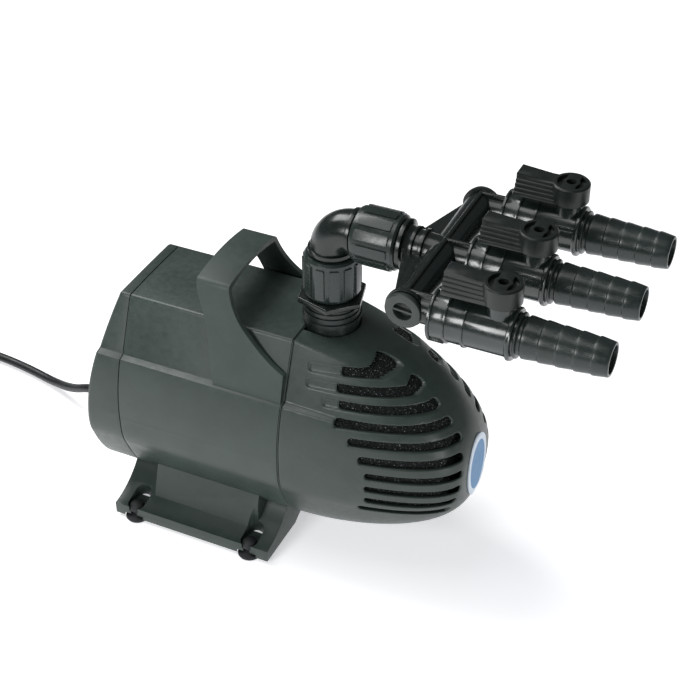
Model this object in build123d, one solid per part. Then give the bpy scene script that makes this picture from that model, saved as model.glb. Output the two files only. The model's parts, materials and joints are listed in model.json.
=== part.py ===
from build123d import *
import os
from math import cos, pi, radians, sin, tan

# Fountain submersible pump with a three-way outlet manifold.
# Lengths are in millimetres, +Z is up and +X points from the motor to the nose.
# Sizes below are measured from the seam between motor housing and strainer cage (x = 0);
# every saved part is moved so that the origin is the centre of the pump's footprint box.

# ---- overall length, body section ----
cap_back = -158.0
cap_seam = -127.3
cap_bow = 405.0
cap_belly = 50.0
tail_tip = 225.6
frame_centre = (cap_back + tail_tip) / 2
seam_gap = 0.8
seam_depth = 0.9
wall = 3.2
top_half = 34.8
top_z = 180.3
ledge_half = 51.0
ledge_z = 139.4
step_half = 55.6
step_z = 137.6
barrel_half = 63.7
barrel_height = 79.9
axis_z = 93.7
corner_round = 3.0
cap_round = 3.5
crown_rise = 0.6
cap_holes = ((-24, 168), (24, 168), (-44, 60), (44, 60))
screw_tip = -130.0
shoulder_drop = 6.8

# ---- strainer cage ----
cage_length = 123.4
nose_half = 17.0
nose_height = 21.0
nose_z = 88.5
cage_wall = 3.0
cage_gap = 0.4
cage_stations = (0.0, 14, 30, 46, 62, 78, 92, 104, 113, 119, 122.2, cage_length)
slot_levels = (166, 155.5, 145.3, 134.2, 123, 110.5, 98.5, 87.5, 77, 67)
slot_starts = (36, 35, 38.5, 38, 49, 57.3, 62.6, 62.6, 62.6, 57.3)
groove_starts = (13.7, 13.7, 27.3)
spine_ends = (11, 11.5, 14, 14.8, 15.1, 20, 24, 26.5, 28.5, 28.5)
slot_heights = (6.0, 6.0, 6.0, 6.0, 6.0, 6.0, 5.0, 5.0, 5.0, 5.0)
hook_bends = (27, 22, 18)
hook_rises = (4.4, 4.4, 1.8)
hook_heights = (7.5, 7.5, 6.5)
groove_depth = 1.1
badge_half = 16.5
badge_height = 26.0

# ---- carry handle ----
strap = 3.1
handle_top = 210.5
handle_corner = 35.5
handle_rise = 3.6
handle_foot = 54.3
handle_low = 137.0

# ---- base and feet ----
base_back = -134.3
base_front = -6.8
base_half = 71.5
base_low = 2.6
base_lip = 12.0
foot_x = (-119.0, -24.0)
foot_y = 66.0

# ---- motor and pump ----
shaft_r = 3.0
running = 0.05
rotor_r = 21.5
can_inner = 22.5
can_outer = 24.0
core_r = 48.0
chamber_r = 42.0
chamber_inner = 37.0
impeller_r = 31.0

# ---- outlet stack ----
outlet_x = 12.8
neck_r = 19.5
outlet_bore = 14.5
hex_z = 199.0
hex_thick = 4.6
hex_corner = 24.8
nut_r = 18.9
nut_length = 31.0
pad_count = 12
elbow_r = 14.7
elbow_bend = 17.0
elbow_leg = 13.6
seal_thick = 1.8
axis_high = 255.7
manifold_x = 93.8
manifold_r = 10.6
manifold_end = 66.2
manifold_bore = 8.0
plug_r = 12.2
plug_gap = 0.9
valve_pitch = 62.5
valve_start = 112.5
valve_end = 167.2
hub_x = 154.9
barrel_r = 15.2
pocket_r = 13.4
pocket_depth = 9.1
valve_bore = 7.5
ball_r = 11.5
seat_r = 9.6
seat_near = 8.9
seat_far = 11.9
sleeve_r = 12.4
hub_r = 12.5
lever_low = 277.5
lever_high = 291.0
lever_reach = 35.7
tail_bore = 9.0
tail_shoulder = 168.2
barb_starts = (171.9, 182.6, 193.5, 204.6, 215.4)
barb_radii = (13.6, 13.3, 12.9, 12.5, 12.1)
tip_r = 10.7

# ---- cord ----
cord_r = 3.5
cord_length = 6000.0
cord_z = cord_r + 1.5
exit_y = 20.0
exit_z = 32.0
gland_end = -164.0
relief_end = -188.0
coil_mid = 47.8
coil_x = -388.0
coil_y = -10.8
coil_low = 1.5
tail_mid = coil_mid + 11.0
coil_columns = 5
coil_rows = 4
tie_thick = 1.2
plug_turn = 200.0
plug_lift = 9.6

X = Vector(1, 0, 0)
Y = Vector(0, 1, 0)
Z = Vector(0, 0, 1)
valve_rows = {"near": -valve_pitch, "middle": 0.0, "far": valve_pitch}
os.makedirs("parts", exist_ok=True)


def save(name, *shapes):
    """Write one sub-part, moved from the seam to the footprint's centre."""
    moved = [Pos(-frame_centre, 0, 0) * solid for shape in shapes for solid in shape.solids()]
    export_step(moved[0] if len(moved) == 1 else Compound(moved), f"parts/{name}.step")


def rod(start, axis, radius, length):
    """A round bar that starts at a point and runs along an axis."""
    return extrude(Plane(origin=start, z_dir=axis) * Circle(radius), length)


def pipe(start, axis, outer, inner, length):
    """A round tube that starts at a point and runs along an axis."""
    return rod(start, axis, outer, length) - rod(start, axis, inner, length)


def box(low, high):
    """A block between two corners."""
    size = [b - a for a, b in zip(low, high)]
    middle = [(a + b) / 2 for a, b in zip(low, high)]
    return Pos(*middle) * Box(*size)


def turned(start, axis, profile):
    """A turned body: profile points are (distance along the axis, radius)."""
    side = Z if abs(axis.Z) < 0.5 else X
    plane = Plane(origin=start, x_dir=axis, z_dir=axis.cross(side))
    face = make_face(plane * Polyline(*profile, close=True))
    return revolve(face, Axis(start, axis))


def ring(start, axis, major, minor):
    """A round-section seal whose circle lies across the axis."""
    return Plane(origin=start, z_dir=axis) * Torus(major, minor)


# ---------------------------------------------------------------- body section
def upper_half_width(z):
    """Half width of the housing at a height above its axis."""
    if z >= ledge_z:
        share = (top_z - z) / (top_z - ledge_z)
        return top_half + share * (ledge_half - top_half)
    rise = step_z - axis_z
    sag = barrel_half - step_half
    radius = (rise * rise + sag * sag) / (2 * sag)
    return barrel_half - radius + (radius**2 - (z - axis_z) ** 2) ** 0.5


def morph(x):
    """How far the section at x has turned from the housing's shape into an oval."""
    share = min(x / cage_length / 0.75, 1.0)
    return share * share * (3 - 2 * share)


def section_size(x, inset):
    """Half width, height above and below the section's centre, and that centre."""
    share = min(x / cage_length, 1.0)
    half = nose_half + (barrel_half - nose_half) * (1 - share**1.55) ** (1 / 2.8)
    above = nose_height + (top_z - axis_z - nose_height) * (1 - share**2.8) ** (1 / 1.35)
    below = nose_height + (barrel_height - nose_height) * (1 - share**1.75) ** (1 / 1.7)
    centre = axis_z + (nose_z - axis_z) * share
    return half - inset, above - inset, below - inset, centre


def section_point(x, inset, z):
    """A point of the section at x that stands for height z of the housing."""
    half, above, below, centre = section_size(x, inset)
    share = (z - axis_z) / (top_z - axis_z)
    oval = barrel_half * (1 - share**1.65) ** (1 / 2.4)
    blend = morph(x)
    width = (1 - blend) * upper_half_width(z) + blend * oval
    return width * half / barrel_half, centre + above * share


def section(x, inset=0.0):
    """The closed outline of the body at x, as a face across +X."""
    half, above, below, centre = section_size(x, inset)
    share = min(x / cage_length, 1.0)
    crown = (0, centre + above + crown_rise + 1.8 * morph(x))
    crease = top_half * (1 - 0.83 * share**2) * (barrel_half - inset) / barrel_half
    right = [
        (crease, crown[1] - crown_rise - shoulder_drop * sin(pi * share)),
        section_point(x, inset, (top_z + ledge_z) / 2),
        section_point(x, inset, ledge_z),
        section_point(x, inset, step_z),
        section_point(x, inset, (step_z + axis_z) / 2),
        (half, centre),
    ]
    lower = []
    for angle in (22.5, 45, 67.5):
        lower.append((half * cos(radians(angle)), centre - below * sin(radians(angle))))
    bottom = (0, centre - below)
    left = [(-y, z) for y, z in right]
    left_lower = [(-y, z) for y, z in lower]
    edges = [
        ThreePointArc(left[0], crown, right[0]),
        ThreePointArc(right[0], right[1], right[2]) if x > 0 else Line(right[0], right[2]),
        Line(right[2], right[3]),
        ThreePointArc(right[3], right[4], right[5]),
        Spline(right[5], *lower, bottom, tangents=[(0, -1), (-1, 0)]),
        Spline(bottom, *left_lower[::-1], left[5], tangents=[(-1, 0), (0, 1)]),
        ThreePointArc(left[5], left[4], left[3]),
        Line(left[3], left[2]),
        ThreePointArc(left[2], left[1], left[0]) if x > 0 else Line(left[2], left[0]),
    ]
    return Plane(origin=(x, 0, 0), x_dir=Y, z_dir=X) * make_face(edges)


def body_block(start, end, inset=0.0):
    """A straight length of the housing's section, with its top corners rounded."""
    face = section(0.0, inset)
    corners = face.vertices().sort_by(Axis.Z)[-2:]
    face = fillet(corners, corner_round)
    return Pos(start, 0, 0) * extrude(face, end - start, dir=X)


# ---------------------------------------------------------------- casing
def cap_rear(z):
    """Where the cap's bowed rear face lies at a height."""
    return cap_back + cap_bow - (cap_bow**2 - (z - cap_belly) ** 2) ** 0.5


def bowed_block(end, inset):
    """The housing's section from the bowed rear face to a station."""
    bow = rod((cap_back + cap_bow, -100, cap_belly), Y, cap_bow - inset, 200)
    return body_block(cap_back, end, inset) & bow


def rear_cap():
    cap = bowed_block(cap_seam - seam_gap, 0.0)
    back_edges = cap.faces().sort_by(Axis.X)[0].edges()
    cap = fillet(back_edges, cap_round)
    cap += body_block(cap_seam - seam_gap, cap_seam, seam_depth)
    cap -= bowed_block(cap_seam, wall)
    lip = body_block(cap_seam - 5, cap_seam + 4, wall + 0.2)
    lip -= body_block(cap_seam - 5, cap_seam + 4, wall + 2.2)
    cap += lip
    cap += body_block(cap_seam - 5, cap_seam - 3, wall - 0.5)
    cap -= body_block(cap_seam - 5, cap_seam - 3, wall + 2.2)
    return cap - rod((cap_back - 5, exit_y, exit_z), X, 5.0, 15)


def motor_housing():
    shell = body_block(cap_seam, -seam_gap)
    shell += body_block(-seam_gap, 0, seam_depth)
    shell -= body_block(cap_seam, -16, wall)
    shell -= body_block(-12, 0, wall)
    shell -= rod((-20, 0, axis_z), X, can_outer + 0.3, 20)
    shell -= rod((outlet_x, 0, axis_z + chamber_r), Z, neck_r + 0.25, top_z)
    return shell


def cap_screws():
    group = []
    for y, z in cap_holes:
        head_x = cap_rear(z) + 2.2
        head = rod((head_x, y, z), X, 3.4, 2.4)
        recess = RegularPolygon(1.6, 6)
        head -= extrude(Plane(origin=(head_x, y, z), z_dir=X) * recess, 1.4)
        group.append(head + rod((head_x + 2.4, y, z), X, 1.7, screw_tip - head_x - 2.4))
    return group


def screw_wells(cap):
    """Recesses in the cap for its screw heads, with clearance holes."""
    for y, z in cap_holes:
        head_x = cap_rear(z) + 2.2
        cap += rod((head_x - 0.2, y, z), X, 5.6, screw_tip - head_x + 0.2)
        cap -= rod((head_x - 4, y, z), X, 3.6, 6.4)
        cap -= rod((head_x, y, z), X, 1.75, screw_tip - head_x + 1)
    return cap


def cap_gasket():
    outer = body_block(cap_seam + 4.3, cap_seam + 6.3, wall + 0.1)
    return outer - body_block(cap_seam + 4.3, cap_seam + 6.3, wall + 2.6)


def strap_face(inset):
    """Outline of the strap seen along X: two straight legs and a slightly bowed grip."""
    side = inset * 1.034
    low = handle_low - inset
    foot = handle_foot - side
    corner = handle_corner - side
    high = handle_top - inset
    edges = [
        Line((-foot, low), (-corner, high)),
        ThreePointArc((-corner, high), (0, high + handle_rise), (corner, high)),
        Line((corner, high), (foot, low)),
        Line((foot, low), (-foot, low)),
    ]
    return Plane(origin=(-80, 0, 0), x_dir=Y, z_dir=X) * make_face(edges)


def carry_handle():
    """Strap across the housing: narrow grip on top, legs that widen forward to their feet."""
    outer = strap_face(0)
    corners = outer.vertices().sort_by(Axis.Z)[-2:]
    band = extrude(fillet(corners, 5.0), 85, dir=X)
    inner = strap_face(strap)
    corners = inner.vertices().sort_by(Axis.Z)[-2:]
    band -= extrude(fillet(corners, 2.0), 85, dir=X)
    top = handle_top + 12
    side = [
        Spline((-53.0, handle_low), (-59.8, 167.5), (-63.4, 182.8), (-66.4, 190.4), (-70.2, 200.3),
               (-72.6, 211.5)),
        Line((-72.6, 211.5), (-72.6, top)),
        Line((-72.6, top), (-47.6, top)),
        Line((-47.6, top), (-47.6, 211)),
        Spline((-47.6, 211), (-46.1, 203.7), (-42.7, 195.2), (-36.5, 185.9), (-28.9, 178.3), (-18.5, 169.4),
               (-1.4, 159.0)),
        Line((-1.4, 159.0), (-1.4, handle_low)),
        Line((-1.4, handle_low), (-53.0, handle_low)),
    ]
    cutter = extrude(Plane.XZ * make_face(side), 80, both=True)
    return (band & cutter) - body_block(-90, 10, -0.02)


def base_plate():
    """Saddle foot: a vertical lip, a ramp that curves up and a cradle block under the barrel."""
    ramp = [
        Line((-base_half, base_low), (-base_half, base_lip)),
        ThreePointArc((-base_half, base_lip), (-52, 17.5), (-30, 40)),
        Line((-30, 40), (30, 40)),
        ThreePointArc((30, 40), (52, 17.5), (base_half, base_lip)),
        Line((base_half, base_lip), (base_half, base_low)),
        Line((base_half, base_low), (-base_half, base_low)),
    ]
    plane = Plane(origin=(base_back, 0, 0), x_dir=Y, z_dir=X)
    plate = extrude(plane * make_face(ramp), base_front - base_back, dir=X)
    block = [(-58, base_low + 6), (-47, 44), (47, 44), (58, base_low + 6)]
    cradle_plane = Plane(origin=(-109, 0, 0), x_dir=Y, z_dir=X)
    plate += extrude(cradle_plane * make_face(Polyline(*block, close=True)), 84.5, dir=X)
    plate -= body_block(base_back - 5, base_front + 5, -0.15)
    hollow_half = base_half - 4
    hollow = [(-hollow_half, base_low - 1), (-48, 9.5), (0, 12), (48, 9.5), (hollow_half, base_low - 1)]
    hollow_plane = Plane(origin=(base_back + 4, 0, 0), x_dir=Y, z_dir=X)
    hollow_face = hollow_plane * make_face(Polyline(*hollow, close=True))
    plate -= extrude(hollow_face, base_front - base_back - 8, dir=X)
    for end in (base_back - 1, base_front - 5):
        arch = rod((end, 0, -38), X, 48, 6)
        plate -= arch & box((end, -50, 0), (end + 6, 50, 10))
    for x in foot_x:
        for side in (-1, 1):
            y = side * foot_y
            well = rod((x, y, 8), Z, 6.6, 30) + rod((x, y - side * 9, 8), Z, 6.6, 30)
            low = min(y, y - side * 9)
            well += box((x - 6.6, low, 8), (x + 6.6, low + 9, 38))
            plate -= well
            plate += rod((x, y, 5.4), Z, 7.4, 2.8) & box((x - 9, -base_half, 0), (x + 9, base_half, 10))
            plate -= rod((x, y, 0), Z, 9.4, 5.4)
            plate -= rod((x, y, 0), Z, 3.2, 12)
            plate -= box((x - 2.6, min(y, side * 80), 0), (x + 2.6, max(y, side * 80), 8.2))
    return plate


def rubber_feet():
    group = []
    for x in foot_x:
        for side in (-1, 1):
            sole = [(0, 0), (0, 8.4), (1.1, 9.0), (2.3, 8.6), (3.4, 5.4), (4.6, 3.1)]
            button = [(8.2, 3.1), (8.2, 5.9), (10.2, 5.7), (12.4, 4.4), (13.6, 2.2), (14.0, 0)]
            group.append(turned((x, side * foot_y, 0), Z, sole + button))
    return group


# ---------------------------------------------------------------- motor
def stator_core():
    core = pipe((-88, 0, axis_z), X, core_r, can_outer + 0.2, 56)
    for index in range(4):
        slot = box((-88, -4, can_outer + 6), (-32, 4, core_r - 8))
        core -= Pos(0, 0, axis_z) * Rot(X=45 + 90 * index) * slot
    return core


def stator_coils():
    group = []
    for start, length in ((-103, 14.6), (-31.6, 13.6)):
        coil = pipe((start, 0, axis_z), X, 44.5, 28.5, length)
        group.append(fillet(coil.edges().filter_by(GeomType.CIRCLE), 3))
    return group


def resin_fill():
    block = body_block(-117, -16.3, wall + 0.3)
    return block - rod((-118, 0, axis_z), X, core_r + 0.2, 103)


def rotor_can():
    can = rod((-100, 0, axis_z), X, can_outer, 88)
    can += rod((-12, 0, axis_z), X, 36, 3)
    can -= rod((-97, 0, axis_z), X, can_inner, 90)
    return can


def rear_bush():
    return pipe((-97, 0, axis_z), X, 7, shaft_r, 7.2)


def front_bush():
    return pipe((26, 0, axis_z), X, 4.6, shaft_r, 8)


def rotor_shaft():
    shaft = rod((-97, 0, axis_z), X, shaft_r, 130)
    return chamfer(shaft.edges().filter_by(GeomType.CIRCLE), 0.4)


def magnet_rotor():
    magnet = pipe((-89.5, 0, axis_z), X, rotor_r, shaft_r + running, 69.5)
    return chamfer(magnet.edges().filter_by(GeomType.CIRCLE).group_by(SortBy.RADIUS)[-1], 1)


def impeller():
    wheel = rod((-3.5, 0, axis_z), X, impeller_r, 2.5) + rod((-20, 0, axis_z), X, 9, 44)
    for index in range(7):
        vane = box((-2, 7, -1), (20, impeller_r - 0.6, 1))
        wheel += Pos(0, 0, axis_z) * Rot(X=360 / 7 * index) * vane
    return wheel - rod((-21, 0, axis_z), X, shaft_r + running, 48)


def pump_chamber():
    """Round chamber round the impeller, with the outlet neck standing on it."""
    chamber = rod((-9, 0, axis_z), X, chamber_r, 39)
    chamber += rod((outlet_x, 0, axis_z), Z, neck_r, hex_z - axis_z)
    chamber += rod((outlet_x, 0, 184.5), Z, neck_r + 1.0, 3.0)
    chamber -= rod((-5, 0, axis_z), X, chamber_inner, 40)
    chamber -= rod((-10, 0, axis_z), X, can_inner + 0.6, 10)
    chamber -= rod((outlet_x, 0, axis_z + 20), Z, outlet_bore, hex_z)
    for z in (191.5, 195.5):
        chamber -= pipe((outlet_x, 0, z), Z, neck_r + 2, neck_r - 0.9, 1.6)
    for y, z in screw_circle():
        chamber -= rod((23.8, y, z), X, 1.45, 8)
    return chamber


def chamber_cover():
    """Front cover with the suction eye and a spider that carries the front bush."""
    cover = pipe((30, 0, axis_z), X, chamber_r, 17, 3)
    for index in range(3):
        arm = box((30, -1.6, 4), (33, 1.6, 18))
        cover += Pos(0, 0, axis_z) * Rot(X=120 * index) * arm
    cover += rod((26, 0, axis_z), X, 6.6, 9)
    cover -= rod((25.5, 0, axis_z), X, 4.6, 8.5)
    cover -= rod((outlet_x, 0, axis_z + 20), Z, neck_r + 0.05, 40)
    for y, z in screw_circle():
        cover -= rod((29, y, z), X, 1.6, 6)
    return cover


def screw_circle():
    """Centres of the chamber's screws, clear of the neck above."""
    radius = chamber_r - 2.5
    return [(radius * cos(radians(a)), axis_z + radius * sin(radians(a))) for a in (20, 160, 235, 305)]


def chamber_screws():
    group = []
    for y, z in screw_circle():
        group.append(rod((24, y, z), X, 1.4, 9) + rod((33, y, z), X, 2.4, 2))
    return group


def chamber_seal():
    return ring((-10.5, 0, axis_z), X, 39.0, 1.4)


# ---------------------------------------------------------------- cage and filter
def cage_block(start, end, inset):
    """The cage's shape between two stations, made smaller by inset."""
    places = [x for x in cage_stations if start + 3 < x < end - 0.6]
    stations = [start] + places + [end]
    return loft([section(x, inset) for x in stations])


def slot_tool(index, start, side):
    """A level cut with rounded ends; the upper ones rise again beside the spine."""
    level = slot_levels[index]
    height = slot_heights[index]
    hooked = index < len(hook_bends)
    bend = hook_bends[index] if hooked else spine_ends[index] + 8
    rise = hook_rises[index] if hooked else 0.0
    end_height = hook_heights[index] if hooked else height
    spine = spine_ends[index]
    front = [
        (spine, level + rise - end_height / 2),
        (spine, level + rise + end_height / 2),
        (bend, level + height / 2),
        (90, level + height / 2),
        (90, level - height / 2),
        (bend, level - height / 2),
    ]
    face = make_face(Polyline(*front, close=True))
    inner_corners = face.vertices().sort_by(Axis.X)[:2]
    face = fillet(inner_corners, end_height * (0.36 if hooked else 0.46))
    seen_ahead = extrude(Plane(origin=(start - 1, 0, 0), x_dir=Y, z_dir=X) * face, 150)
    low = level - height / 2
    seen_aside = box((start, 0, low), (start + 160, 95, low + rise + end_height))
    starts = seen_aside.edges().filter_by(Axis.Y).group_by(Axis.X)[0]
    cut = fillet(starts, height * 0.48) & seen_ahead
    return cut if side > 0 else mirror(cut, Plane.XZ)


def strainer_cage(outer):
    """Domed cage with a solid spine, ten levels of slots and three short blind grooves."""
    inner = cage_block(cage_gap, cage_length - 2.6, cage_wall)
    groove_floor = cage_block(cage_gap, cage_length, groove_depth)
    cage = outer - inner
    for side in (-1, 1):
        for index, start in enumerate(slot_starts):
            cage -= slot_tool(index, start, side)
        for index, start in enumerate(groove_starts):
            groove = slot_tool(index, start, side) & box((start, -90, 100), (slot_starts[index] + 6, 90, 200))
            cage -= groove - groove_floor
    cage -= rod((outlet_x, 0, 150), Z, neck_r + 0.35, 60)
    cage -= box((-5, -neck_r - 0.35, 150), (outlet_x, neck_r + 0.35, 210))
    return cage


def nose_badge(outer):
    """Thin oval plate that follows the nose."""
    oval = Plane(origin=(cage_length - 12, 0, nose_z), x_dir=Y, z_dir=X) * Ellipse(badge_half, badge_height)
    return (Pos(1.1, 0, 0) * outer & extrude(oval, 20, dir=X)) - Pos(0.1, 0, 0) * outer


def prefilter_foam():
    foam = cage_block(8, 112, cage_wall + 0.6)
    foam -= rod((0, 0, axis_z), X, chamber_r + 4, 42)
    return foam - box((0, -neck_r - 2, axis_z), (outlet_x + neck_r + 2, neck_r + 2, 190))


# ---------------------------------------------------------------- outlet stack
def hex_adapter():
    """Hexagon flange on the neck, with the threaded spigot for the union nut."""
    hexagon = Plane(origin=(outlet_x, 0, hex_z)) * RegularPolygon(hex_corner, 6, rotation=45)
    adapter = extrude(hexagon, hex_thick)
    adapter = chamfer(adapter.edges().filter_by(Plane.XY), 0.7)
    adapter += rod((outlet_x, 0, hex_z), Z, 15.6, 22)
    for index in range(5):
        thread = [(0, 15), (0, 16.4), (0.9, 16.4), (1.6, 15)]
        adapter += turned((outlet_x, 0, hex_z + 7 + 2.6 * index), Z, thread)
    return adapter - rod((outlet_x, 0, hex_z - 1), Z, 12.0, 30)


def union_nut(start, axis, spigot_first):
    """Union nut: round body, raised grip pads, and an inward lip behind the collar."""
    body = turned(start, axis, [(0, 0), (0, nut_r - 0.6), (1.2, nut_r), (nut_length - 1.5, nut_r),
                                (nut_length, nut_r - 1.4), (nut_length, 0)])
    plane = Plane(origin=start, z_dir=axis)
    for index in range(pad_count):
        pad = box((nut_r - 1, -3.3, 3.2), (nut_r + 1.1, 3.3, nut_length - 4.2))
        pad = fillet(pad.edges().filter_by(Axis.X), 1.0)
        body += plane * Rot(Z=360 / pad_count * index) * pad
    lip = 4.0
    wide_start = 0 if spigot_first else lip
    bore = rod(Vector(*start) + axis * wide_start, axis, 16.8, nut_length - lip)
    return body - bore - rod(start, axis, elbow_r - 0.9, nut_length)


def lower_union_nut():
    return union_nut((outlet_x, 0, hex_z + hex_thick + 0.8), Z, True)


def upper_union_nut():
    return union_nut((outlet_x + elbow_bend + 3.4, 0, axis_high), X, False)


def lower_union_seal():
    return pipe((outlet_x, 0, hex_z + 22.05), Z, 15.4, 12.2, 1.6)


def upper_union_seal():
    return pipe((outlet_x + elbow_bend + elbow_leg + 0.05, 0, axis_high), X, 15.4, 12.2, seal_thick)


def elbow():
    """Right-angle bend with a collar at each end that the union nuts pull on."""
    low = hex_z + 24.0
    arc = Plane.XZ * Pos(outlet_x + elbow_bend, axis_high - elbow_bend) * ThreePointArc(
        (-elbow_bend, 0), (-elbow_bend * cos(pi / 4), elbow_bend * sin(pi / 4)), (0, elbow_bend))
    start = Plane(origin=(outlet_x, 0, axis_high - elbow_bend), z_dir=Z)
    bend = sweep(start * Circle(elbow_r), path=arc)
    hollow = sweep(start * Circle(12.0), path=arc)
    top = axis_high - elbow_bend
    body = bend + rod((outlet_x, 0, low), Z, elbow_r - 1.3, top - low)
    body += rod((outlet_x, 0, low), Z, 16.0, 3.0)
    body += rod((outlet_x, 0, top - 1.4), Z, elbow_r + 1.5, 2.6)
    body += rod((outlet_x + elbow_bend - 1.2, 0, axis_high), X, elbow_r + 1.5, 2.8)
    end = outlet_x + elbow_bend + elbow_leg
    body += rod((outlet_x + elbow_bend, 0, axis_high), X, elbow_r - 1.3, elbow_leg)
    body += rod((end - 3, 0, axis_high), X, 16.0, 3.0)
    body -= hollow
    body -= rod((outlet_x, 0, low - 1), Z, 12.0, top - low + 1)
    return body - rod((outlet_x + elbow_bend, 0, axis_high), X, 12.0, 30)


def rounded_rib(low, high, along):
    """A thin upright rib with a rounded top; it runs along one axis."""
    rib = box(low, high)
    return fillet(rib.edges().filter_by(along).group_by(Axis.Z)[-1], 1.3)


def manifold():
    """Three-way header: inlet neck, cross tube with open ends, stubs, web and ribs."""
    inlet = outlet_x + elbow_bend + elbow_leg + seal_thick + 0.2
    neck = manifold_x - inlet
    collar = [(0, 0), (0, 15.9), (19.4, 15.9), (19.8, 17.4), (22.4, 17.4), (23.2, 13.8), (26.8, 12.6)]
    rings = [(27.4, 14), (29.2, 14), (29.8, 12.2), (33.3, 12.2), (33.8, 13.6), (35.6, 13.6), (36.2, 11.8)]
    body = turned((inlet, 0, axis_high), X, collar + rings + [(neck, 11.0), (neck, 0)])
    body += rod((manifold_x, -manifold_end, axis_high), Y, manifold_r, 2 * manifold_end)
    for side in (-1, 1):
        start = side * manifold_end - (2.6 if side > 0 else 0)
        body += rod((manifold_x, start, axis_high), Y, 13.2, 2.6)
    web_x = inlet + 24
    web_back = manifold_x - 9
    web = [(manifold_x, manifold_end - 2), (web_back, manifold_end - 3), (web_x, 13)]
    web += [(x, -y) for x, y in web[::-1]]
    body += extrude(Plane(origin=(0, 0, axis_high - 2.6)) * make_face(Polyline(*web, close=True)), 5.2)
    rib_top = axis_high + 12.6
    rib_end = manifold_end - 3.4
    cross = rounded_rib((manifold_x - 1.6, -rib_end, axis_high), (manifold_x + 1.6, rib_end, rib_top), Axis.Y)
    body += cross
    for y in valve_rows.values():
        stub = [(0, 0), (0, 8.8), (17.6, 8.8), (19.4, 10.2), (19.4, 13.2), (27.4, 13.2)]
        spigot = [(27.4, 8.4), (33.4, 8.4), (33.4, 0)]
        body += turned((manifold_x, y, axis_high), X, stub + spigot)
        body += rounded_rib((manifold_x, y - 1.5, axis_high), (valve_start - 0.3, y + 1.5, rib_top), Axis.X)
    body -= rod((inlet - 1, 0, axis_high), X, 9.0, neck)
    body -= rod((manifold_x, -80, axis_high), Y, manifold_bore, 160)
    for side in (-1, 1):
        body -= rod((manifold_x, side * manifold_end, axis_high), Vector(0, side, 0), 13.3, 12)
        body -= rod((manifold_x, side * (valve_pitch - 2.5), axis_high), X, 5.0, 50)
    return body - rod((manifold_x, 0, axis_high), X, 6.6, 50)


def end_plugs():
    """Screw plugs with a dished face and one bar across it for a coin or driver."""
    group = []
    for side in (-1, 1):
        out = Vector(0, side, 0)
        face = side * (manifold_end + plug_gap)
        disc = [(0, 0), (0, plug_r), (2.3, plug_r), (3.0, plug_r - 0.7), (3.0, 0)]
        plug = turned((manifold_x, face, axis_high), out, disc)
        plug += rod((manifold_x, side * (manifold_end - 2.8), axis_high), out, 7.7, 4.5)
        plug -= rod((manifold_x, side * (manifold_end - 1.8), axis_high), out, 6.4, 20)
        bar = Rot(Y=5) * box((-6.6, -1.5, -0.7), (6.6, 1.5, 0.7))
        plug += Pos(manifold_x, face + side * 1.2, axis_high) * bar
        group.append(plug)
    return group


def end_plug_seals():
    middle = manifold_end + plug_gap / 2
    return [ring((manifold_x, side * middle, axis_high), Y, 9.6, plug_gap / 2 - 0.02) for side in (-1, 1)]


def clip_window(radius):
    """Three-sided cut round a spring tab in the collar, and the raised frame beside it."""
    low = valve_start + 3
    cut = box((low, -4.6, -radius - 2), (low + 7, -3.0, -radius + 2.6))
    cut += box((low, 3.0, -radius - 2), (low + 7, 4.6, -radius + 2.6))
    cut += box((low + 5.2, -4.6, -radius - 2), (low + 7, 4.6, -radius + 2.6))
    frame = box((valve_start + 1, -6.6, -radius - 0.5), (low + 8, -5.6, -radius + 2.0))
    frame += box((valve_start + 1, 5.6, -radius - 0.5), (low + 8, 6.6, -radius + 2.0))
    return cut, frame


def valve_body(y):
    """Collar with clip windows, ringed barrel, rounded end ring and stem tower."""
    start = (valve_start, y, axis_high)
    rim = [(0, 0), (0, 16.8), (0.4, 17.2), (1.6, 17.2), (2.0, 16.8), (2.0, 15.8), (10.2, 15.8)]
    rings = [(10.4, 16.6), (11.6, 16.6), (11.8, 15.4), (22.0, 15.4), (22.2, 16.3), (23.6, 16.3)]
    end_ring = [(23.8, barrel_r), (50.0, barrel_r), (50.3, 16.3), (51.0, 16.9), (52.6, 16.9), (53.4, 16.2), (53.5, 13.6)]
    length = valve_end - valve_start
    body = turned(start, X, rim + rings + end_ring + [(length, 13.6), (length, 0)])
    body += rod((hub_x, y, axis_high), Z, 9.0, lever_low - axis_high - 0.6)
    cut, frame = clip_window(15.8)
    for angle in (-28, 152):
        body += Pos(0, y, axis_high) * Rot(X=angle) * frame
        body -= Pos(0, y, axis_high) * Rot(X=angle) * cut
    body -= rod(start, X, pocket_r, pocket_depth)
    body -= rod(start, X, 8.6, 14.9)
    body -= rod(start, X, valve_bore, length)
    body -= rod((hub_x - seat_far - 0.05, y, axis_high), X, seat_r + 0.05, 12)
    body -= Pos(hub_x, y, axis_high) * Sphere(ball_r + 0.35)
    body -= rod((hub_x, y, axis_high), X, ball_r + 0.35, length)
    body -= rod((hub_x + 6.9, y, axis_high), X, sleeve_r + 0.1, length)
    return body - rod((hub_x, y, axis_high), Z, 3.2, 30)


def valve_ball(y):
    """Drilled ball with its stem, which the lever sits on."""
    ball = Pos(hub_x, y, axis_high) * Sphere(ball_r)
    ball -= rod((hub_x - 15, y, axis_high), X, valve_bore, 30)
    return ball + rod((hub_x, y, axis_high + 9.6), Z, 3.05, lever_low + 6.0 - axis_high - 9.6)


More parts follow.
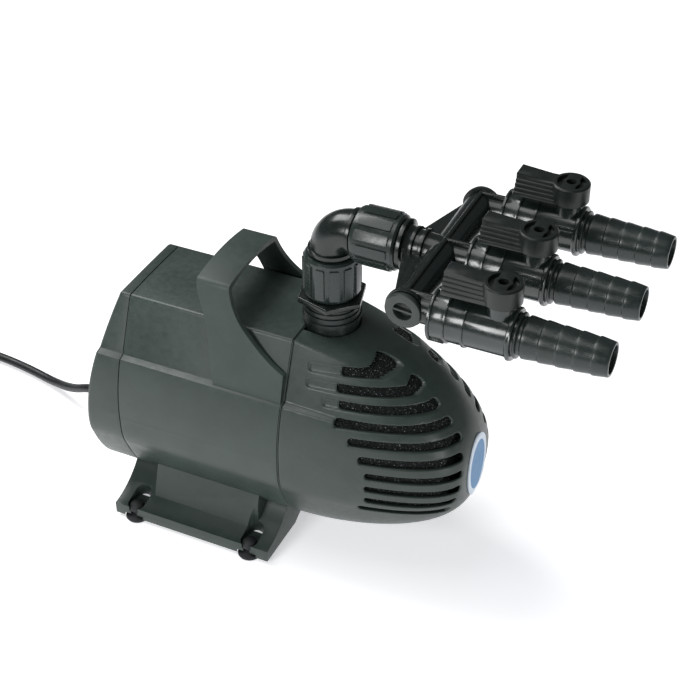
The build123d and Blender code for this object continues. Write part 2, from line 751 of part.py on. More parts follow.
def valve_lever(y):
    """Cupped hub with a paddle whose sides step outward downward and whose end rises."""
    height = lever_high - lever_low
    hub = [(0, 0), (0, hub_r - 0.8), (0.8, hub_r), (height - 1, hub_r), (height, hub_r - 1), (height, 0)]
    lever = turned((hub_x, y, lever_low), Z, hub)
    steps = 5
    layer = (height - 0.4) / steps
    for step in range(steps):
        share = step / (steps - 1)
        at_end = 10.4 - 4.9 * share
        at_hub = 9.9 - 3.4 * share
        outline = [(0, -at_hub), (-lever_reach, -at_end), (-lever_reach, at_end), (0, at_hub)]
        floor = Plane(origin=(hub_x, y, lever_low + 0.2 + layer * step))
        slab = extrude(floor * make_face(Polyline(*outline, close=True)), layer)
        rim = slab.edges().group_by(Axis.Z)[-1].sort_by(Axis.X)[:-1]
        lever += chamfer(rim, 0.5)
    grip = [(-hub_r + 1, lever_high - 3), (-hub_r + 1, lever_high - 0.4), (-lever_reach, lever_high + 1.4)]
    grip += [(-lever_reach, lever_high - 3)]
    middle = Plane(origin=(hub_x, y, 0), x_dir=X, z_dir=-Y)
    wedge = extrude(middle * make_face(Polyline(*grip, close=True)), 5.6, both=True)
    crest = wedge.edges().group_by(Axis.Z)[-1]
    lever += fillet(crest, 0.9)
    lever -= rod((hub_x, y, lever_low - 1), Z, 3.05, 8)
    lever -= rod((hub_x, y, lever_high - 5), Z, 3.3, 9)
    cup = pipe((hub_x, y, lever_high - 2.6), Z, 9.4, 5.6, 5)
    for angle in (0, 180):
        window = Pos(hub_x, y, 0) * Rot(Z=angle) * box((-4.5, 2, lever_high - 4), (4.5, 12, lever_high + 4))
        cup -= window
    return lever - cup


def valve_seats():
    group = []
    for y in valve_rows.values():
        for start in (hub_x - seat_far, hub_x + seat_near):
            group.append(pipe((start, y, axis_high), X, seat_r, valve_bore, seat_far - seat_near))
    return group


def hose_tail(y):
    """Barbed tail: a sleeve that closes the valve and holds its seat, then saw-tooth barbs."""
    sleeve = hub_x + 7.1 - valve_end
    profile = [(sleeve, 0), (sleeve, sleeve_r), (0, sleeve_r), (0, 14.2), (0.3, 14.6), (1.1, 14.6)]
    profile += [(1.4, 14.2), (1.8, 12.2), (3.8, 12.2)]
    ends = barb_starts[1:] + (tail_tip,)
    for base, crest, end in zip(barb_starts, barb_radii, ends):
        near = base - valve_end
        profile += [(near, crest), (near + 1.6, crest), (end - valve_end - 0.6, crest - 0.9)]
    length = tail_tip - valve_end
    profile = profile[:-1] + [(length - 0.5, tip_r + 0.3), (length, tip_r), (length, 0)]
    tail = turned((valve_end, y, axis_high), X, profile)
    tail -= rod((hub_x + 6, y, axis_high), X, seat_r + 0.05, seat_far + 0.05 - 6)
    tail -= Pos(hub_x, y, axis_high) * Sphere(ball_r + 0.35)
    tail -= rod((hub_x, y, axis_high), X, valve_bore, 30)
    return tail - rod((tail_shoulder, y, axis_high), X, tail_bore, 80)


# ---------------------------------------------------------------- cord
def cable_gland():
    nut = rod((gland_end, exit_y, exit_z), X, 9.0, cap_back - gland_end)
    flats = extrude(Plane(origin=(gland_end, exit_y, exit_z), z_dir=X) * RegularPolygon(10.2, 6), 5.2)
    nut += flats
    return nut - rod((gland_end - 1, exit_y, exit_z), X, 5.0, 12)


def strain_relief():
    start = (cap_back + 4, exit_y, exit_z)
    profile = [(0, 0), (0, 4.9), (4 - gland_end + cap_back, 4.9), (4 - gland_end + cap_back, 6.6),
               (cap_back + 4 - relief_end, cord_r + 0.7), (cap_back + 4 - relief_end, 0)]
    relief = turned(start, Vector(-1, 0, 0), profile)
    for index in range(5):
        x = gland_end - 4.5 - 4.4 * index
        relief -= pipe((x, exit_y, exit_z), X, 9, 5.2 - 0.3 * index, 1.5)
    return relief


def cord_route():
    """Corners of the cord's path from the strain relief to the coil."""
    return [
        (relief_end, exit_y, exit_z),
        (-211, 20.5, 30),
        (-234, 27, 16),
        (-262, 39.5, cord_z),
        (-291, 46, cord_z),
        (-322, 50, cord_z),
        (-355, 51.2, cord_z),
        (coil_x, coil_y + coil_mid + 2 * cord_r * 2, cord_z),
    ]


def tail_route():
    """Corners of the cord's path from the top of the coil to the plug."""
    top = coil_low + 2 * cord_r * coil_rows
    turn = radians(plug_turn)
    route = []
    for angle, rise in ((-70, -3.0), (-35, 0.5), (0, 6.0)):
        spot = turn + radians(angle)
        route.append((coil_x + tail_mid * cos(spot), coil_y + tail_mid * sin(spot), top + rise))
    ahead = (-sin(turn), cos(turn))
    last = route[-1]
    route.append((last[0] + 16 * ahead[0], last[1] + 16 * ahead[1], top + plug_lift))
    return route


def bend_radii(route):
    """The largest arcs that the runs beside each corner leave room for."""
    radii = []
    for before, corner, after in zip(route, route[1:], route[2:]):
        run_in = Vector(*corner) - Vector(*before)
        run_out = Vector(*after) - Vector(*corner)
        turn = radians(run_in.get_angle(run_out))
        radii.append(0.45 * min(run_in.length, run_out.length) / tan(turn / 2))
    return radii


def tube_along(route):
    radii = bend_radii(route)
    path = FilletPolyline(*route, radius=radii)
    print("radii", [round(value) for value in radii], "length", round(path.length, 1))
    start = Plane(origin=route[0], z_dir=Vector(*route[1]) - Vector(*route[0]))
    tube = sweep(start * Circle(cord_r), path=path)
    print("volume ratio", round(tube.volume / (pi * cord_r**2 * path.length), 4))
    return tube, path.length


def cord_coil():
    """Outer shape of the wound cord: a ring of rounded rectangular section."""
    width = 2 * cord_r * coil_columns
    height = 2 * cord_r * coil_rows
    middle = Plane(origin=(coil_x, coil_y, 0), x_dir=X, z_dir=-Y)
    shape = middle * Pos(coil_mid, coil_low + height / 2) * RectangleRounded(width, height, cord_r)
    return revolve(shape, Axis((coil_x, coil_y, 0), Z))


def cord_tie():
    width = 2 * cord_r * coil_columns
    height = 2 * cord_r * coil_rows
    middle = Plane(origin=(coil_x, coil_y, 0), x_dir=X, z_dir=-Y)
    centre = Pos(coil_mid, coil_low + height / 2)
    outer = RectangleRounded(width + 2 * tie_thick, height + 2 * tie_thick, cord_r + tie_thick)
    band = extrude(middle * centre * (outer - RectangleRounded(width, height, cord_r)), 5, both=True)
    return Pos(coil_x, coil_y, 0) * Rot(Z=-60) * Pos(-coil_x, -coil_y, 0) * band


def plug_plane():
    """Plane at the plug's rear face, looking the way that the cord arrives."""
    route = tail_route()
    turn = radians(plug_turn)
    return Plane(origin=route[-1], x_dir=Z, z_dir=Vector(-sin(turn), cos(turn), 0))


def plug_body():
    plane = plug_plane()
    stations = [(0, 11, 13, 4), (9, 14, 17, 4), (20, 18.6, 26, 5), (36, 18.6, 26, 5)]
    outlines = [plane * Pos(0, 0, along) * RectangleRounded(*size) for along, *size in stations]
    return loft(outlines, ruled=True)


def plug_pins():
    plane = plug_plane()
    blades = [plane * Pos(0, side * 6.35, 44.7) * Box(6.4, 1.5, 17.4) for side in (-1, 1)]
    earth = plane * Pos(-6.0, 0, 36) * Cylinder(2.4, 18, align=(Align.CENTER, Align.CENTER, Align.MIN))
    return blades + [earth]


# ---------------------------------------------------------------- write the sub-parts
save("rear_cap", screw_wells(rear_cap()))
save("motor_housing", motor_housing())
save("cap_screws", *cap_screws())
save("cap_gasket", cap_gasket())
save("carry_handle", carry_handle())
save("base_plate", base_plate())
save("rubber_feet", *rubber_feet())
save("stator_core", stator_core())
save("stator_coils", *stator_coils())
save("resin_fill", resin_fill())
save("rotor_can", rotor_can())
save("rear_bush", rear_bush())
save("front_bush", front_bush())
save("rotor_shaft", rotor_shaft())
save("magnet_rotor", magnet_rotor())
save("impeller", impeller())
save("pump_chamber", pump_chamber())
save("chamber_cover", chamber_cover())
save("chamber_screws", *chamber_screws())
save("chamber_seal", chamber_seal())
cage_outer = cage_block(cage_gap, cage_length, 0.0)
save("strainer_cage", strainer_cage(cage_outer))
save("nose_badge", nose_badge(cage_outer))
save("prefilter_foam", prefilter_foam())
save("hex_adapter", hex_adapter())
save("lower_union_nut", lower_union_nut())
save("lower_union_seal", lower_union_seal())
save("elbow", elbow())
save("upper_union_nut", upper_union_nut())
save("upper_union_seal", upper_union_seal())
save("manifold", manifold())
save("end_plugs", *end_plugs())
save("end_plug_seals", *end_plug_seals())
for place, row in valve_rows.items():
    save(f"valve_body_{place}", valve_body(row))
    save(f"valve_ball_{place}", valve_ball(row))
    save(f"valve_lever_{place}", valve_lever(row))
    save(f"hose_tail_{place}", hose_tail(row))
save("valve_seats", *valve_seats())
save("cable_gland", cable_gland())
save("strain_relief", strain_relief())
lead, lead_length = tube_along(cord_route())
save("cord_lead", lead)
tail, tail_length = tube_along(tail_route())
save("cord_tail", tail)
save("cord_coil", cord_coil())
turns = (cord_length - lead_length - tail_length) / (2 * pi * coil_mid)
print("coil turns", round(turns, 2))
save("cord_tie", cord_tie())
save("plug_body", plug_body())
save("plug_pins", *plug_pins())
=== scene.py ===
import json
import math

import bmesh
import bpy
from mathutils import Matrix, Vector


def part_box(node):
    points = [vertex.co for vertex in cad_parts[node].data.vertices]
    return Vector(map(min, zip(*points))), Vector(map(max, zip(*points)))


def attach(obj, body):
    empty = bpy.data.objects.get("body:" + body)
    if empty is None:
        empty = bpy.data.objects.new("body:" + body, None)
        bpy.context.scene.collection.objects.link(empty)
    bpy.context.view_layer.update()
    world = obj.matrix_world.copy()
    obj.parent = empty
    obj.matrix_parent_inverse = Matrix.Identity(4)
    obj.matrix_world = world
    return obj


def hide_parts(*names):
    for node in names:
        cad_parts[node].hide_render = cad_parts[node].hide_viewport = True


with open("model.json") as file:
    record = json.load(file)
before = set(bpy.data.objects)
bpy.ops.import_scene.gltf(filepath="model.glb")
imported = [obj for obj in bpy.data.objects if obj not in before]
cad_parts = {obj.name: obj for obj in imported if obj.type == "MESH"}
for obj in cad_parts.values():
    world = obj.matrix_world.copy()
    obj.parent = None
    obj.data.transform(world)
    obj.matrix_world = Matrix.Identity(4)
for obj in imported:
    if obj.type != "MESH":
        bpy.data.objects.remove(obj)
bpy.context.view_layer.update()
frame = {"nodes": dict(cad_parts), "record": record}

MM = 0.001


# ---------------------------------------------------------------- places
# The seam between motor housing and strainer cage is where the object's own sizes start.
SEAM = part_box("motor_housing")[1].x
NODE_BODY = {node: body for body, nodes in frame["record"]["behaviour"]["bodies"].items() for node in nodes}
NODE_SLOT = {part["node"]: part["material_slot"] for part in frame["record"]["subparts"]}
ROWS = ("near", "middle", "far")


def at(x, y, z):
    """A point given in millimetres from the seam, in the frame's metres."""
    return Vector((SEAM + x * MM, y * MM, z * MM))


# ---------------------------------------------------------------- camera and light
def aim(obj, target):
    """Turns a camera or lamp so that it looks at a point, with +Z up."""
    obj.rotation_euler = (target - obj.location).to_track_quat("-Z", "Y").to_euler()


def add_camera():
    """The camera at the photograph's viewing angle, with its distance in metres."""
    azimuth, elevation, distance = math.radians(24.85), math.radians(37.07), 1.1167
    back = Vector((math.sin(azimuth) * math.cos(elevation), -math.cos(azimuth) * math.cos(elevation),
                   math.sin(elevation)))
    target = at(26.2, 0, 156.85)
    lens = bpy.data.cameras.new("camera")
    lens.sensor_width = 36
    lens.lens = 82.76
    camera = bpy.data.objects.new("camera", lens)
    camera.location = target + back * distance
    aim(camera, target)
    bpy.context.scene.collection.objects.link(camera)
    bpy.context.scene.camera = camera


def add_lamp(name, place, size, power, target):
    """A soft rectangular lamp, its place and size in metres and its power in watts."""
    lamp = bpy.data.lights.new(name, "AREA")
    lamp.shape = "RECTANGLE"
    lamp.size, lamp.size_y = size
    lamp.energy = power
    obj = bpy.data.objects.new(name, lamp)
    obj.location = place
    aim(obj, Vector(target))
    bpy.context.scene.collection.objects.link(obj)


def add_studio():
    """A dim sky, four soft lamps and a pale floor that gives off a little light of its own."""
    bpy.context.scene.view_settings.view_transform = "Standard"
    world = bpy.data.worlds.new("studio")
    bpy.context.scene.world = world
    world.use_nodes = True
    sky = world.node_tree.nodes["Background"]
    sky.inputs["Color"].default_value = (0.95, 0.98, 1, 1)
    sky.inputs["Strength"].default_value = 0.13
    centre = (0.0, 0.0, 0.12)
    add_lamp("key", (-1.0, 0.25, 1.35), (0.8, 0.8), 15, centre)
    add_lamp("overhead", (-0.45, -0.15, 1.8), (1.2, 1.0), 9, centre)
    add_lamp("front_fill", (-0.42, -1.38, 0.87), (0.6, 0.5), 11, (0.12, 0, 0.25))
    add_lamp("side", (1.30, -0.75, 0.28), (0.25, 0.40), 3.5, centre)
    bpy.ops.mesh.primitive_plane_add(size=12, location=(0, 0, -0.0002))
    floor = bpy.context.object
    floor.name = "floor"
    paint = bpy.data.materials.new("floor_white")
    paint.use_nodes = True
    shader = paint.node_tree.nodes["Principled BSDF"]
    shader.inputs["Base Color"].default_value = (0.95, 0.95, 0.96, 1)
    shader.inputs["Roughness"].default_value = 0.9
    shader.inputs["Specular IOR Level"].default_value = 0.1
    shader.inputs["Emission Color"].default_value = (0.97, 0.97, 1.0, 1)
    shader.inputs["Emission Strength"].default_value = 0.5
    floor.data.materials.append(paint)


# ---------------------------------------------------------------- materials
class Paint:
    """A material built from nodes, with short calls for the nodes it uses."""

    def __init__(self, name):
        self.material = bpy.data.materials.new(name)
        self.material.use_nodes = True
        self.tree = self.material.node_tree
        self.shader = self.tree.nodes["Principled BSDF"]
        coordinates = self.tree.nodes.new("ShaderNodeTexCoord")
        self.place = coordinates.outputs["Object"]

    def node(self, kind, **settings):
        made = self.tree.nodes.new(kind)
        for key, value in settings.items():
            setattr(made, key, value)
        return made

    def link(self, source, target):
        self.tree.links.new(source, target)

    def noise(self, size_mm, detail=3.0, roughness=0.55, stretch=(1, 1, 1)):
        """Noise whose features are about size_mm across."""
        mapping = self.node("ShaderNodeMapping")
        mapping.inputs["Scale"].default_value = stretch
        self.link(self.place, mapping.inputs["Vector"])
        texture = self.node("ShaderNodeTexNoise")
        texture.inputs["Scale"].default_value = 1000.0 / size_mm
        texture.inputs["Detail"].default_value = detail
        texture.inputs["Roughness"].default_value = roughness
        self.link(mapping.outputs["Vector"], texture.inputs["Vector"])
        return texture.outputs["Fac"]

    def cells(self, size_mm):
        """The distance to the middle of the nearest of cells about size_mm across."""
        texture = self.node("ShaderNodeTexVoronoi")
        texture.inputs["Scale"].default_value = 1000.0 / size_mm
        self.link(self.place, texture.inputs["Vector"])
        return texture.outputs["Distance"]

    def span(self, value, low, high, to_low, to_high):
        """Maps a value from one range to another, clamped."""
        mapped = self.node("ShaderNodeMapRange")
        for socket, number in zip(("From Min", "From Max", "To Min", "To Max"), (low, high, to_low, to_high)):
            mapped.inputs[socket].default_value = number
        self.link(value, mapped.inputs["Value"])
        return mapped.outputs["Result"]

    def maths(self, operation, first, second):
        """A sum on two values, each a number or an output."""
        made = self.node("ShaderNodeMath", operation=operation)
        for index, value in enumerate((first, second)):
            if isinstance(value, (int, float)):
                made.inputs[index].default_value = value
            else:
                self.link(value, made.inputs[index])
        return made.outputs["Value"]

    def mix(self, share, first, second):
        """Mixes two colours, each a tuple or an output."""
        made = self.node("ShaderNodeMix", data_type="RGBA")
        self.link(share, made.inputs["Factor"])
        for socket, value in ((made.inputs[6], first), (made.inputs[7], second)):
            if isinstance(value, tuple):
                socket.default_value = (*value, 1)
            else:
                self.link(value, socket)
        return made.outputs[2]

    def edges(self, radius_mm):
        """1 on outside edges, 0 on flat stretches."""
        rounded = self.node("ShaderNodeBevel", samples=4)
        rounded.inputs["Radius"].default_value = radius_mm * MM
        geometry = self.node("ShaderNodeNewGeometry")
        product = self.node("ShaderNodeVectorMath", operation="DOT_PRODUCT")
        self.link(rounded.outputs["Normal"], product.inputs[0])
        self.link(geometry.outputs["Normal"], product.inputs[1])
        return self.span(product.outputs["Value"], 0.97, 0.80, 0.0, 1.0)

    def bump(self, height, strength, distance_mm, under=None):
        """A normal raised by a height, over another normal if one is given."""
        made = self.node("ShaderNodeBump")
        made.inputs["Strength"].default_value = strength
        made.inputs["Distance"].default_value = distance_mm * MM
        self.link(height, made.inputs["Height"])
        if under is not None:
            self.link(under, made.inputs["Normal"])
        return made.outputs["Normal"]

    def done(self, colour, roughness, normal):
        """The finished material."""
        self.link(colour, self.shader.inputs["Base Color"])
        self.link(roughness, self.shader.inputs["Roughness"])
        self.link(normal, self.shader.inputs["Normal"])
        return self.material


def scaled(colour, factor):
    return tuple(channel * factor for channel in colour)


def moulded(name, colour, rough, grain_mm=0.45, grain=0.25, mottle=0.18, edge_highlight=0.35, specular=0.5,
            wave=0.12):
    """Moulded plastic: fine grain, slow mottling, faint scuffs and a patchy painted highlight on its outside
    edges.
    """
    paint = Paint(name)
    slow = paint.noise(28, 4)
    middle = paint.noise(4.5, 5, 0.65)
    tone = paint.maths("ADD", paint.maths("MULTIPLY", slow, 0.6), paint.maths("MULTIPLY", middle, 0.4))
    mottled = paint.span(tone, 0.35, 0.65, 0, 1)
    base = paint.mix(mottled, scaled(colour, 1 - mottle), scaled(colour, 1 + mottle))
    scuffs = paint.span(paint.noise(1.6, 6, 0.75, (1, 3, 3)), 0.62, 0.74, 0, 0.25)
    base = paint.mix(scuffs, base, scaled(colour, 1.5))
    # Painted highlight: outside edges are lightened in patches, standing in for light caught on the rounded
    # edges.
    if edge_highlight:
        edge_highlight_mask = paint.maths("MULTIPLY", paint.edges(0.6), paint.span(paint.noise(3, 4), 0.3, 0.6, 0.4, 1.0))
        base = paint.mix(paint.maths("MULTIPLY", edge_highlight_mask, edge_highlight), base, scaled(colour, 2.2))
    rougher = paint.span(middle, 0.3, 0.7, rough - 0.06, rough + 0.07)
    rougher = paint.maths("ADD", rougher, paint.maths("MULTIPLY", scuffs, 0.15))
    fine = paint.bump(paint.noise(grain_mm, 2, 0.6), grain, 0.05)
    normal = paint.bump(paint.noise(9, 3), wave, 0.35, fine)
    paint.shader.inputs["Specular IOR Level"].default_value = specular
    return paint.done(base, rougher, normal)


def rubber(name, colour, rough=0.62, grain_mm=0.6):
    """Rubber or cable jacket: dull, dusty in patches, with a soft grain."""
    paint = Paint(name)
    dust = paint.span(paint.noise(7, 6, 0.7), 0.5, 0.72, 0, 0.6)
    base = paint.mix(dust, colour, scaled(colour, 2.2))
    rougher = paint.span(paint.noise(3, 3), 0.3, 0.7, rough - 0.08, rough + 0.1)
    normal = paint.bump(paint.noise(grain_mm, 3), 0.2, 0.06)
    return paint.done(base, rougher, normal)


def open_foam(name):
    """Open-cell filter foam: painted shade deepening towards each cell's middle, and small painted glints on
    the webs.
    """
    paint = Paint(name)
    cells = paint.cells(1.5)
    webs = paint.span(cells, 0.25, 0.62, 0, 1)
    # Painted shade: the colour darkens towards each cell's middle, where the pores run deep.
    base = paint.mix(webs, (0.002, 0.003, 0.003), (0.008, 0.010, 0.010))
    # Painted highlight: small glints lighten the colour on the webs.
    glint = paint.span(paint.noise(0.9, 2), 0.62, 0.70, 0, 1)
    base = paint.mix(paint.maths("MULTIPLY", glint, webs), base, (0.24, 0.26, 0.26))
    normal = paint.bump(cells, 0.9, 0.8)
    rough = paint.span(glint, 0, 1, 0.8, 0.3)
    paint.shader.inputs["Specular IOR Level"].default_value = 0.2
    return paint.done(base, rough, normal)


def metal(name, colour, rough, brushed=(1, 1, 1)):
    """Metal with fine lines, which run across the axis that brushed stretches."""
    paint = Paint(name)
    lines = paint.noise(0.8, 3, 0.6, brushed)
    base = paint.mix(paint.span(lines, 0.3, 0.7, 0, 1), scaled(colour, 0.82), colour)
    rougher = paint.span(paint.noise(5, 4), 0.3, 0.7, rough - 0.06, rough + 0.1)
    paint.shader.inputs["Metallic"].default_value = 1.0
    return paint.done(base, rougher, paint.bump(lines, 0.15, 0.03))


def make_materials():
    """One material for each slot but the badge's."""
    green_grey = (0.028, 0.043, 0.036)
    black = (0.007, 0.011, 0.010)
    return {
        "body_plastic": moulded("body_plastic_look", green_grey, 0.40, edge_highlight=0.3),
        "cage_plastic": moulded("cage_plastic_look", scaled(green_grey, 0.9), 0.37, edge_highlight=0.3),
        "handle_plastic": moulded("handle_plastic_look", scaled(green_grey, 1.1), 0.52, 0.8, 0.4, edge_highlight=0.15),
        "chamber_plastic": moulded("chamber_plastic_look", scaled(black, 1.2), 0.30, edge_highlight=0),
        "fitting_plastic": moulded("fitting_plastic_look", black, 0.22, 0.6, 0.06, 0.12, 0, wave=0.05),
        "nut_plastic": moulded("nut_plastic_look", scaled(black, 2.2), 0.27, 0.5, 0.10, 0.12, 0.15),
        "valve_plastic": moulded("valve_plastic_look", scaled(black, 1.8), 0.20, 0.7, 0.03, 0.1, 0, 0.75,
                                 0.03),
        "lever_plastic": moulded("lever_plastic_look", scaled(black, 0.9), 0.36, 0.5, 0.15, 0.12, 0),
        "tail_plastic": moulded("tail_plastic_look", scaled(black, 2.0), 0.30, 0.5, 0.10, 0.15, 0.12,
                                wave=0.05),
        "plug_cap_plastic": moulded("plug_cap_look", (0.026, 0.036, 0.032), 0.34, 0.5, 0.15, edge_highlight=0.1),
        "inner_plastic": moulded("inner_plastic_look", (0.05, 0.052, 0.056), 0.4, edge_highlight=0),
        "resin": moulded("resin_look", (0.05, 0.042, 0.036), 0.25, edge_highlight=0),
        "tie_plastic": moulded("tie_look", (0.02, 0.02, 0.02), 0.5, edge_highlight=0),
        "seal_rubber": rubber("seal_rubber_look", (0.008, 0.009, 0.009)),
        "foot_rubber": rubber("foot_rubber_look", (0.006, 0.008, 0.009)),
        "cord_jacket": rubber("cord_jacket_look", (0.008, 0.010, 0.011), 0.42),
        "foam": open_foam("foam_look"),
        "steel": metal("steel_look", (0.62, 0.62, 0.6), 0.3),
        "core_steel": metal("core_steel_look", (0.28, 0.28, 0.29), 0.45, (12, 1, 1)),
        "copper": metal("copper_look", (0.72, 0.33, 0.14), 0.35, (6, 1, 1)),
        "ceramic": moulded("ceramic_look", (0.72, 0.71, 0.68), 0.15, 0.3, 0.05, 0.05, 0),
        "ferrite": moulded("ferrite_look", (0.06, 0.06, 0.063), 0.35, 0.3, 0.2, edge_highlight=0),
        "brass": metal("brass_look", (0.8, 0.6, 0.28), 0.25, (1, 6, 1)),
    }


def badge_material():
    """Plain two-tone badge: a pale rim round a blue oval field, under a clear gloss."""
    paint = Paint("badge_look")
    low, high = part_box("nose_badge")
    centre, size = (low + high) / 2, high - low
    offset = paint.node("ShaderNodeVectorMath", operation="SUBTRACT")
    paint.link(paint.place, offset.inputs[0])
    offset.inputs[1].default_value = centre
    scale = paint.node("ShaderNodeVectorMath", operation="MULTIPLY")
    scale.inputs[1].default_value = (0, 2 / size.y, 2 / size.z)
    paint.link(offset.outputs["Vector"], scale.inputs[0])
    length = paint.node("ShaderNodeVectorMath", operation="LENGTH")
    paint.link(scale.outputs["Vector"], length.inputs[0])
    radius = length.outputs["Value"]
    field_tone = paint.span(paint.noise(6, 3), 0.3, 0.7, 0, 1)
    field = paint.mix(field_tone, (0.030, 0.19, 0.42), (0.042, 0.225, 0.47))
    rim_tone = paint.span(paint.noise(4, 3), 0.3, 0.7, 0, 1)
    rim = paint.mix(rim_tone, (0.66, 0.76, 0.86), (0.72, 0.80, 0.90))
    base = paint.mix(paint.span(radius, 0.78, 0.81, 0, 1), field, rim)
    paint.shader.inputs["Coat Weight"].default_value = 0.1
    paint.shader.inputs["Specular IOR Level"].default_value = 0.3
    rough = paint.span(paint.noise(3, 3), 0.3, 0.7, 0.38, 0.48)
    return paint.done(base, rough, paint.bump(paint.noise(2.5, 2), 0.05, 0.05))


# ---------------------------------------------------------------- pieces from CAD nodes
def new_object(name, mesh):
    obj = bpy.data.objects.new(name, mesh)
    bpy.context.scene.collection.objects.link(obj)
    return obj


def apply_modifiers(obj):
    """Works an object's modifiers into its mesh."""
    graph = bpy.context.evaluated_depsgraph_get()
    mesh = bpy.data.meshes.new_from_object(obj.evaluated_get(graph))
    obj.modifiers.clear()
    old = obj.data
    obj.data = mesh
    bpy.data.meshes.remove(old)


def welded_copy(node, name):
    """A joined-up copy of a CAD node's mesh, with flat faces merged again."""
    bm = bmesh.new()
    bm.from_mesh(frame["nodes"][node].data)
    bmesh.ops.remove_doubles(bm, verts=bm.verts, dist=2e-6)
    bmesh.ops.dissolve_degenerate(bm, edges=bm.edges, dist=1e-6)
    bmesh.ops.dissolve_limit(bm, angle_limit=math.radians(0.6), verts=bm.verts, edges=bm.edges)
    mesh = bpy.data.meshes.new(name)
    bm.to_mesh(mesh)
    bm.free()
    return new_object(name, mesh)


def smooth_by_angle(obj):
    """Shades a piece smooth, except at edges sharper than 38 degrees."""
    obj.data.shade_smooth()
    obj.data.set_sharp_from_angle(angle=math.radians(38))


def stand_for(obj, node, material):
    """Gives a piece its material and body, and hides the CAD node that it stands for."""
    obj.data.materials.clear()
    obj.data.materials.append(material)
    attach(obj, NODE_BODY[node])
    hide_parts(node)


def add_bevelled(node, width_mm, material):
    """Puts a copy with rounded moulded edges in place of a CAD node."""
    obj = welded_copy(node, node + "_shell")
    bevel = obj.modifiers.new("bevel", "BEVEL")
    bevel.limit_method = "ANGLE"
    bevel.angle_limit = math.radians(32)
    bevel.width = width_mm * MM
    bevel.segments = 3
    bevel.use_clamp_overlap = True
    bevel.miter_outer = "MITER_ARC"
    apply_modifiers(obj)
    smooth_by_angle(obj)
    stand_for(obj, node, material)


MOST_TRIANGLES = 190000


def add_softened(node, voxel_mm, rounds, material):
    """Puts a copy whose edges are all rounded, as soft moulded plastic, in place of a CAD node."""
    obj = welded_copy(node, node + "_shell")
    remesh = obj.modifiers.new("remesh", "REMESH")
    remesh.mode = "VOXEL"
    remesh.voxel_size = voxel_mm * MM
    smooth = obj.modifiers.new("smooth", "SMOOTH")
    smooth.factor = 0.5
    smooth.iterations = rounds
    apply_modifiers(obj)
    triangles = 2 * len(obj.data.polygons)
    if triangles > MOST_TRIANGLES:
        decimate = obj.modifiers.new("decimate", "DECIMATE")
        decimate.ratio = MOST_TRIANGLES / triangles
        apply_modifiers(obj)
    obj.data.shade_smooth()
    stand_for(obj, node, material)


# ---------------------------------------------------------------- the cord
# Millimetres from the seam and degrees, but for the length, which is in metres.
CORD_R = 3.5
CORD_Z = 5.0
COIL_MID, COIL_X, COIL_Y, COIL_LOW = 47.8, -388.0, -10.8, 1.5
COIL_COLUMNS, COIL_ROWS = 5, 4
COIL_START = 90.0
COIL_STEPS = 24
CROSSING = 0.3
TAIL_MID = COIL_MID + 11.0
TAIL_GAP = 70.0
PLUG_TURN, PLUG_LIFT, PLUG_RUN = 200.0, 9.6, 16
ROUTE = [(-188.0, 20, 32), (-211, 20.5, 30), (-234, 27, 16), (-262, 39.5, CORD_Z), (-291, 46, CORD_Z),
         (-322, 50, CORD_Z), (-355, 51.2, CORD_Z)]


def coil_points():
    """The coil's turns, wound in neat layers from the outside of the lowest one.

    In the first CROSSING of each turn the cord eases over from the seat of the turn before.
    """
    spacing = 2 * CORD_R
    inner = COIL_MID - spacing * (COIL_COLUMNS - 1) / 2
    seats = []
    for row in range(COIL_ROWS):
        columns = range(COIL_COLUMNS) if row % 2 else range(COIL_COLUMNS - 1, -1, -1)
        seats += [(inner + spacing * column, COIL_LOW + spacing * (row + 0.5)) for column in columns]
    last_turn = COIL_COLUMNS * COIL_ROWS - 1
    end = 360.0 * last_turn + PLUG_TURN - TAIL_GAP
    points = []
    count = round((end - COIL_START) / 360 * COIL_STEPS)
    for index in range(count + 1):
        turned = index / COIL_STEPS
        turn = min(int(turned), last_turn)
        radius, height = seats[turn]
        share = min((turned - turn) / CROSSING, 1.0)
        if turn and share < 1:
            ease = share * share * (3 - 2 * share)
            radius = seats[turn - 1][0] + ease * (radius - seats[turn - 1][0])
            height = seats[turn - 1][1] + ease * (height - seats[turn - 1][1])
        angle = math.radians(COIL_START + 360 * turned)
        points.append((COIL_X + radius * math.cos(angle), COIL_Y + radius * math.sin(angle), height))
    return points


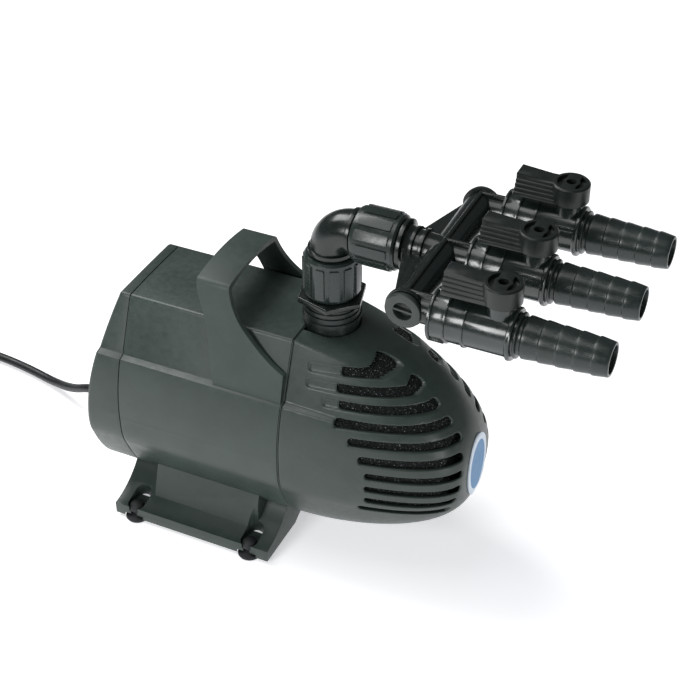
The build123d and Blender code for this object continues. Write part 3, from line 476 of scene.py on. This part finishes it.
def tail_points():
    """The last stretch, which climbs over the coil to the plug."""
    top = COIL_LOW + 2 * CORD_R * COIL_ROWS
    turn = math.radians(PLUG_TURN)
    points = []
    for degrees, rise in ((-35, 0.5), (0, 6.0)):
        spot = turn + math.radians(degrees)
        points.append((COIL_X + TAIL_MID * math.cos(spot), COIL_Y + TAIL_MID * math.sin(spot), top + rise))
    x, y, _ = points[-1]
    points.append((x - PLUG_RUN * math.sin(turn), y + PLUG_RUN * math.cos(turn), top + PLUG_LIFT))
    return points


def add_cord(material):
    """The whole cord, from the strain relief to the plug."""
    line = bpy.data.curves.new("power_cord", "CURVE")
    line.dimensions = "3D"
    spline = line.splines.new("NURBS")
    places = [at(*p) for p in ROUTE + coil_points() + tail_points()]
    spline.points.add(len(places) - 1)
    for point, place in zip(spline.points, places):
        point.co = (*place, 1)
    spline.order_u = 3
    spline.use_endpoint_u = True
    spline.resolution_u = 6
    line.bevel_depth = CORD_R * MM
    line.bevel_resolution = 5
    line.use_fill_caps = True
    cord = bpy.data.objects.new("power_cord", line)
    bpy.context.scene.collection.objects.link(cord)
    line.materials.append(material)
    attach(cord, "pump")
    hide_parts("cord_lead", "cord_coil", "cord_tail")


# ---------------------------------------------------------------- assembly
# Each CAD node that a bevelled copy replaces, with the bevel's width in millimetres and the look.
BEVELS = [
    ("motor_housing", 0.8, "body_plastic"),
    ("carry_handle", 1.0, "handle_plastic"),
    ("base_plate", 0.8, "body_plastic"),
    ("rear_cap", 0.7, "body_plastic"),
    ("hex_adapter", 0.3, "fitting_plastic"),
    ("lower_union_nut", 0.35, "nut_plastic"),
    ("upper_union_nut", 0.35, "nut_plastic"),
    ("elbow", 0.5, "fitting_plastic"),
    ("manifold", 0.5, "fitting_plastic"),
    ("end_plugs", 0.3, "plug_cap_plastic"),
]
ROW_BEVELS = [
    ("valve_body_", 0.3, "valve_plastic"),
    ("valve_lever_", 0.6, "lever_plastic"),
    ("hose_tail_", 0.25, "tail_plastic"),
]

add_camera()
add_studio()
paints = make_materials()
paints["badge"] = badge_material()
for node, obj in frame["nodes"].items():
    obj.data.materials.clear()
    obj.data.materials.append(paints[NODE_SLOT[node]])
add_cord(paints["cord_jacket"])
for node, width_mm, slot in BEVELS:
    add_bevelled(node, width_mm, paints[slot])
for row in ROWS:
    for stem, width_mm, slot in ROW_BEVELS:
        add_bevelled(stem + row, width_mm, paints[slot])
add_softened("strainer_cage", 0.7, 2, paints["cage_plastic"])

bpy.context.view_layer.update()
